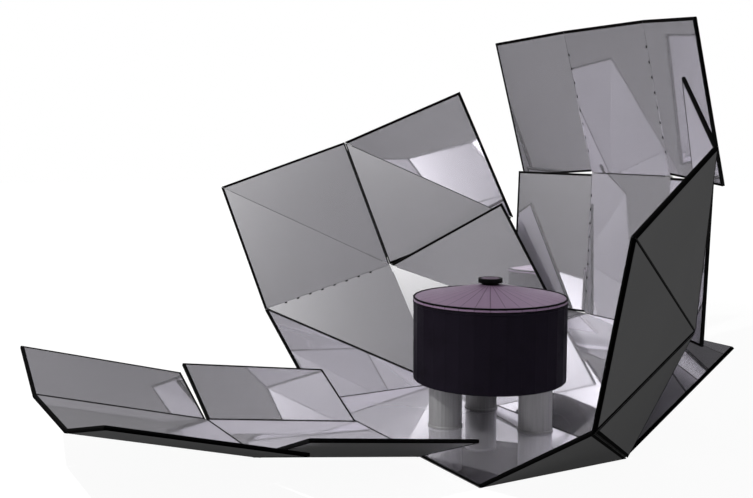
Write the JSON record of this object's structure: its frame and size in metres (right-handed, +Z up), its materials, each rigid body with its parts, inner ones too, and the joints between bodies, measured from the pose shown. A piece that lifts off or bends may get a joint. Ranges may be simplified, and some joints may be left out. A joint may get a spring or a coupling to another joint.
{
  "type": "solar oven",
  "caption": "Folding panel solar oven: a creased sheet of mirror-faced boards on pinned hinges, folded round a black lidded pot that stands on tin cans.",
  "frame": {"origin": "centre of the floor panel's underside", "axes": "+Z up, +Y from the low front apron to the tall back wall, +X to the right seen from the apron"},
  "size_m": [1.1166, 0.9602, 0.628],
  "materials": {
    "mirror_board": "mirror film on the inner face, dark grey skin outside",
    "pin_steel": "drawn wire",
    "tin": "tinplate",
    "pot_enamel": "black enamel",
    "lid_metal": "dark purple-grey sheen",
    "knob": "black moulding",
    "screw_steel": "plain"
  },
  "bodies": {
    "floor": {"floor_panel": "mirror_board", "floor_hinge_pins": "pin_steel"},
    "apron_inner": {"apron_inner": "mirror_board", "apron_inner_hinge_pins": "pin_steel"},
    "apron_outer": {"apron_outer": "mirror_board", "apron_outer_hinge_pins": "pin_steel"},
    "back_ramp": {"back_ramp": "mirror_board", "back_ramp_hinge_pin": "pin_steel"},
    "back_lower": {"back_lower": "mirror_board", "back_lower_hinge_pins": "pin_steel"},
    "back_upper": {"back_upper": "mirror_board", "back_upper_hinge_pins": "pin_steel"},
    "apron_inner_flap_right": {"apron_inner_flap_right": "mirror_board"},
    "apron_inner_flap_left": {"apron_inner_flap_left": "mirror_board"},
    "apron_outer_flap_right": {"apron_outer_flap_right": "mirror_board"},
    "apron_outer_flap_left": {"apron_outer_flap_left": "mirror_board"},
    "back_lower_flap_right": {"back_lower_flap_right": "mirror_board"},
    "back_lower_flap_left": {"back_lower_flap_left": "mirror_board"},
    "back_upper_flap_right": {"back_upper_flap_right": "mirror_board"},
    "back_upper_flap_left": {"back_upper_flap_left": "mirror_board"},
    "gusset_lower_right": {"gusset_lower_right": "mirror_board", "gusset_lower_pin_right": "pin_steel"},
    "gusset_lower_left": {"gusset_lower_left": "mirror_board", "gusset_lower_pin_left": "pin_steel"},
    "gusset_upper_right": {"gusset_upper_right": "mirror_board", "gusset_upper_pins_right": "pin_steel"},
    "gusset_upper_left": {"gusset_upper_left": "mirror_board", "gusset_upper_pins_left": "pin_steel"},
    "side_wall_front_right": {"side_wall_front_right": "mirror_board", "side_wall_front_pin_right": "pin_steel"},
    "side_wall_front_left": {"side_wall_front_left": "mirror_board", "side_wall_front_pin_left": "pin_steel"},
    "side_wall_rear_right": {"side_wall_rear_right": "mirror_board", "side_wall_rear_pin_right": "pin_steel"},
    "side_wall_rear_left": {"side_wall_rear_left": "mirror_board", "side_wall_rear_pin_left": "pin_steel"},
    "wing_lower_right": {"wing_lower_right": "mirror_board", "wing_lower_pin_right": "pin_steel"},
    "wing_lower_left": {"wing_lower_left": "mirror_board", "wing_lower_pin_left": "pin_steel"},
    "wing_upper_right": {"wing_upper_right": "mirror_board"},
    "wing_upper_left": {"wing_upper_left": "mirror_board"},
    "corner_wall_lower_right": {"corner_wall_lower_right": "mirror_board", "corner_wall_pin_right": "pin_steel"},
    "corner_wall_lower_left": {"corner_wall_lower_left": "mirror_board", "corner_wall_pin_left": "pin_steel"},
    "corner_wall_upper_right": {"corner_wall_upper_right": "mirror_board"},
    "corner_wall_upper_left": {"corner_wall_upper_left": "mirror_board"},
    "stand_can_front": {"stand_can_front": "tin"},
    "stand_can_right": {"stand_can_right": "tin"},
    "stand_can_left": {"stand_can_left": "tin"},
    "pot": {"pot_body": "pot_enamel"},
    "lid": {"pot_lid": "lid_metal", "lid_knob": "knob", "knob_screw": "screw_steel"}
  },
  "joints": [
    {"name": "apron_inner_fold", "type": "hinge", "parent": "floor", "child": "apron_inner", "pos_m": [0.001, -0.125, 0.002], "axis": [-1, 0, 0], "range_deg": [-8.6, 25]},
    {"name": "apron_outer_fold", "type": "hinge", "parent": "apron_inner", "child": "apron_outer", "pos_m": [0.001, -0.37219, 0.03938], "axis": [-1, 0, 0], "range_deg": [-7, 12]},
    {"name": "back_ramp_fold", "type": "hinge", "parent": "floor", "child": "back_ramp", "pos_m": [0, 0.125, 0.002], "axis": [1, 0, 0], "range_deg": [-32.8, 0]},
    {"name": "back_lower_fold", "type": "hinge", "parent": "back_ramp", "child": "back_lower", "pos_m": [0, 0.33514, 0.13743], "axis": [1, 0, 0], "range_deg": [-55, 0]},
    {"name": "back_upper_fold", "type": "hinge", "parent": "back_lower", "child": "back_upper", "pos_m": [0, 0.34474, 0.38724], "axis": [1, 0, 0], "range_deg": [-18.3, 3]},
    {"name": "apron_inner_flap_right_fold", "type": "hinge", "parent": "apron_inner", "child": "apron_inner_flap_right", "pos_m": [0.094, -0.00042, -0.01684], "axis": [0, -0.9888, 0.1495], "range_deg": [-22.3, 0]},
    {"name": "apron_inner_flap_left_fold", "type": "hinge", "parent": "apron_inner", "child": "apron_inner_flap_left", "pos_m": [-0.094, -0.0014, -0.01669], "axis": [0, 0.9888, -0.1495], "range_deg": [-22.3, 0]},
    {"name": "apron_outer_flap_right_fold", "type": "hinge", "parent": "apron_outer", "child": "apron_outer_flap_right", "pos_m": [0.094, -0.01004, -0.06173], "axis": [0, -0.9632, 0.2689], "range_deg": [-15.8, 0]},
    {"name": "apron_outer_flap_left_fold", "type": "hinge", "parent": "apron_outer", "child": "apron_outer_flap_left", "pos_m": [-0.094, -0.011, -0.06146], "axis": [0, 0.9632, -0.2689], "range_deg": [-15.8, 0]},
    {"name": "back_lower_flap_right_fold", "type": "hinge", "parent": "back_lower", "child": "back_lower_flap_right", "pos_m": [0.094, 0.32078, -0.2363], "axis": [0, -0.0384, -0.9993], "range_deg": [-22.4, 0]},
    {"name": "back_lower_flap_left_fold", "type": "hinge", "parent": "back_lower", "child": "back_lower_flap_left", "pos_m": [-0.094, 0.32075, -0.2373], "axis": [0, 0.0384, 0.9993], "range_deg": [-22.4, 0]},
    {"name": "back_upper_flap_right_fold", "type": "hinge", "parent": "back_upper", "child": "back_upper_flap_right", "pos_m": [0.094, 0.51778, -0.21228], "axis": [0, 0.2773, -0.9608], "range_deg": [-15.9, 0]},
    {"name": "back_upper_flap_left_fold", "type": "hinge", "parent": "back_upper", "child": "back_upper_flap_left", "pos_m": [-0.094, 0.51806, -0.21324], "axis": [0, -0.2773, 0.9608], "range_deg": [-15.9, 0]},
    {"name": "gusset_lower_right_fold", "type": "hinge", "parent": "floor", "child": "gusset_lower_right", "pos_m": [0.2425, 0.125, 0.002], "axis": [0, -1, 0], "range_deg": [-30.6, 0]},
    {"name": "gusset_lower_left_fold", "type": "hinge", "parent": "floor", "child": "gusset_lower_left", "pos_m": [-0.2425, -0.125, 0.002], "axis": [0, 1, 0], "range_deg": [-30.6, 0]},
    {"name": "gusset_upper_right_fold", "type": "hinge", "parent": "gusset_lower_right", "child": "gusset_upper_right", "pos_m": [0.2425, 0.125, 0.002], "axis": [0.6086, -0.7071, 0.3599], "range_deg": [-36.7, 0]},
    {"name": "gusset_upper_left_fold", "type": "hinge", "parent": "gusset_lower_left", "child": "gusset_upper_left", "pos_m": [-0.45769, -0.125, 0.12926], "axis": [0.6086, 0.7071, -0.3599], "range_deg": [-36.7, 0]},
    {"name": "side_wall_front_right_fold", "type": "hinge", "parent": "gusset_upper_right", "child": "side_wall_front_right", "pos_m": [0.38258, 0.10022, 0.20758], "axis": [0.3004, -0.9009, -0.3133], "range_deg": [-11.1, 0]},
    {"name": "side_wall_front_left_fold", "type": "hinge", "parent": "gusset_upper_left", "child": "side_wall_front_left", "pos_m": [-0.45769, -0.125, 0.12926], "axis": [0.3004, 0.9009, 0.3133], "range_deg": [-11.1, 0]},
    {"name": "side_wall_rear_right_fold", "type": "hinge", "parent": "side_wall_front_right", "child": "side_wall_rear_right", "pos_m": [0.38258, 0.10022, 0.20758], "axis": [0.4961, -0.7633, 0.4137], "range_deg": [-8.6, 0]},
    {"name": "side_wall_rear_left_fold", "type": "hinge", "parent": "side_wall_front_left", "child": "side_wall_rear_left", "pos_m": [-0.55799, -0.16965, 0.35386], "axis": [0.4961, 0.7633, -0.4137], "range_deg": [-8.6, 0]},
    {"name": "wing_lower_right_fold", "type": "hinge", "parent": "side_wall_rear_right", "child": "wing_lower_right", "pos_m": [0.38258, 0.10022, 0.20758], "axis": [0.3092, -0.2245, 0.9241], "range_deg": [-16, 0]},
    {"name": "wing_lower_left_fold", "type": "hinge", "parent": "side_wall_rear_left", "child": "wing_lower_left", "pos_m": [-0.45987, 0.0441, 0.43861], "axis": [0.3092, 0.2245, -0.9241], "range_deg": [-16, 0]},
    {"name": "wing_upper_right_fold", "type": "hinge", "parent": "wing_lower_right", "child": "wing_upper_right", "pos_m": [0.22857, 0.27348, 0.3012], "axis": [0.6542, -0.6488, 0.3887], "range_deg": [-16, 20]},
    {"name": "wing_upper_left_fold", "type": "hinge", "parent": "wing_lower_left", "child": "wing_upper_left", "pos_m": [-0.45987, 0.0441, 0.43861], "axis": [0.6542, 0.6488, -0.3887], "range_deg": [-16, 20]},
    {"name": "corner_wall_lower_right_fold", "type": "hinge", "parent": "gusset_upper_right", "child": "corner_wall_lower_right", "pos_m": [0.2425, 0.125, 0.002], "axis": [0.5603, -0.0991, 0.8223], "range_deg": [-19.68, 0]},
    {"name": "corner_wall_lower_left_fold", "type": "hinge", "parent": "gusset_upper_left", "child": "corner_wall_lower_left", "pos_m": [-0.38258, 0.10022, 0.20758], "axis": [0.5603, 0.0991, -0.8223], "range_deg": [-19.68, 0]},
    {"name": "corner_wall_upper_right_fold", "type": "hinge", "parent": "corner_wall_lower_right", "child": "corner_wall_upper_right", "pos_m": [0.1068, 0.30149, 0.11574], "axis": [0.78, -0.5693, 0.2598], "range_deg": [-18.4, 0]},
    {"name": "corner_wall_upper_left_fold", "type": "hinge", "parent": "corner_wall_lower_left", "child": "corner_wall_upper_left", "pos_m": [-0.38258, 0.10022, 0.20758], "axis": [0.78, 0.5693, -0.2598], "range_deg": [-18.4, 0]},
    {"name": "stand_can_front_slide", "type": "slide", "parent": "floor", "child": "stand_can_front", "axis": [0, -1, 0], "range_m": [0, 0.06]},
    {"name": "stand_can_right_slide", "type": "slide", "parent": "floor", "child": "stand_can_right", "axis": [1, 0, 0], "range_m": [0, 0.06]},
    {"name": "stand_can_left_slide", "type": "slide", "parent": "floor", "child": "stand_can_left", "axis": [-1, 0, 0], "range_m": [0, 0.06]},
    {"name": "pot_lift", "type": "slide", "parent": "floor", "child": "pot", "axis": [0, 0, 1], "range_m": [0, 0.55]},
    {"name": "lid_lift", "type": "slide", "parent": "pot", "child": "lid", "axis": [0, 0, 1], "range_m": [0, 0.2]}
  ],
  "couplings": [
    {"joint": "back_lower_fold", "follows": "back_ramp_fold", "ratio": 1.6768},
    {"joint": "apron_outer_flap_right_fold", "follows": "apron_inner_flap_right_fold", "ratio": 0.70852},
    {"joint": "apron_outer_flap_left_fold", "follows": "apron_inner_flap_left_fold", "ratio": 0.70852},
    {"joint": "back_lower_flap_right_fold", "follows": "back_ramp_fold", "ratio": 0.68293},
    {"joint": "back_lower_flap_left_fold", "follows": "back_ramp_fold", "ratio": 0.68293},
    {"joint": "back_upper_flap_right_fold", "follows": "back_ramp_fold", "ratio": 0.48476},
    {"joint": "back_upper_flap_left_fold", "follows": "back_ramp_fold", "ratio": 0.48476},
    {"joint": "gusset_lower_right_fold", "follows": "back_ramp_fold", "ratio": 0.93293},
    {"joint": "gusset_lower_left_fold", "follows": "back_ramp_fold", "ratio": 0.93293},
    {"joint": "gusset_upper_right_fold", "follows": "back_ramp_fold", "ratio": 1.1189},
    {"joint": "gusset_upper_left_fold", "follows": "back_ramp_fold", "ratio": 1.1189},
    {"joint": "side_wall_front_right_fold", "follows": "back_ramp_fold", "ratio": 0.33842},
    {"joint": "side_wall_front_left_fold", "follows": "back_ramp_fold", "ratio": 0.33842},
    {"joint": "side_wall_rear_right_fold", "follows": "back_ramp_fold", "ratio": 0.2622},
    {"joint": "side_wall_rear_left_fold", "follows": "back_ramp_fold", "ratio": 0.2622},
    {"joint": "wing_lower_right_fold", "follows": "back_ramp_fold", "ratio": 0.4878},
    {"joint": "wing_lower_left_fold", "follows": "back_ramp_fold", "ratio": 0.4878},
    {"joint": "corner_wall_lower_right_fold", "follows": "back_ramp_fold", "ratio": 0.60001},
    {"joint": "corner_wall_lower_left_fold", "follows": "back_ramp_fold", "ratio": 0.60001},
    {"joint": "corner_wall_upper_right_fold", "follows": "back_ramp_fold", "ratio": 0.56098},
    {"joint": "corner_wall_upper_left_fold", "follows": "back_ramp_fold", "ratio": 0.56098}
  ]
}
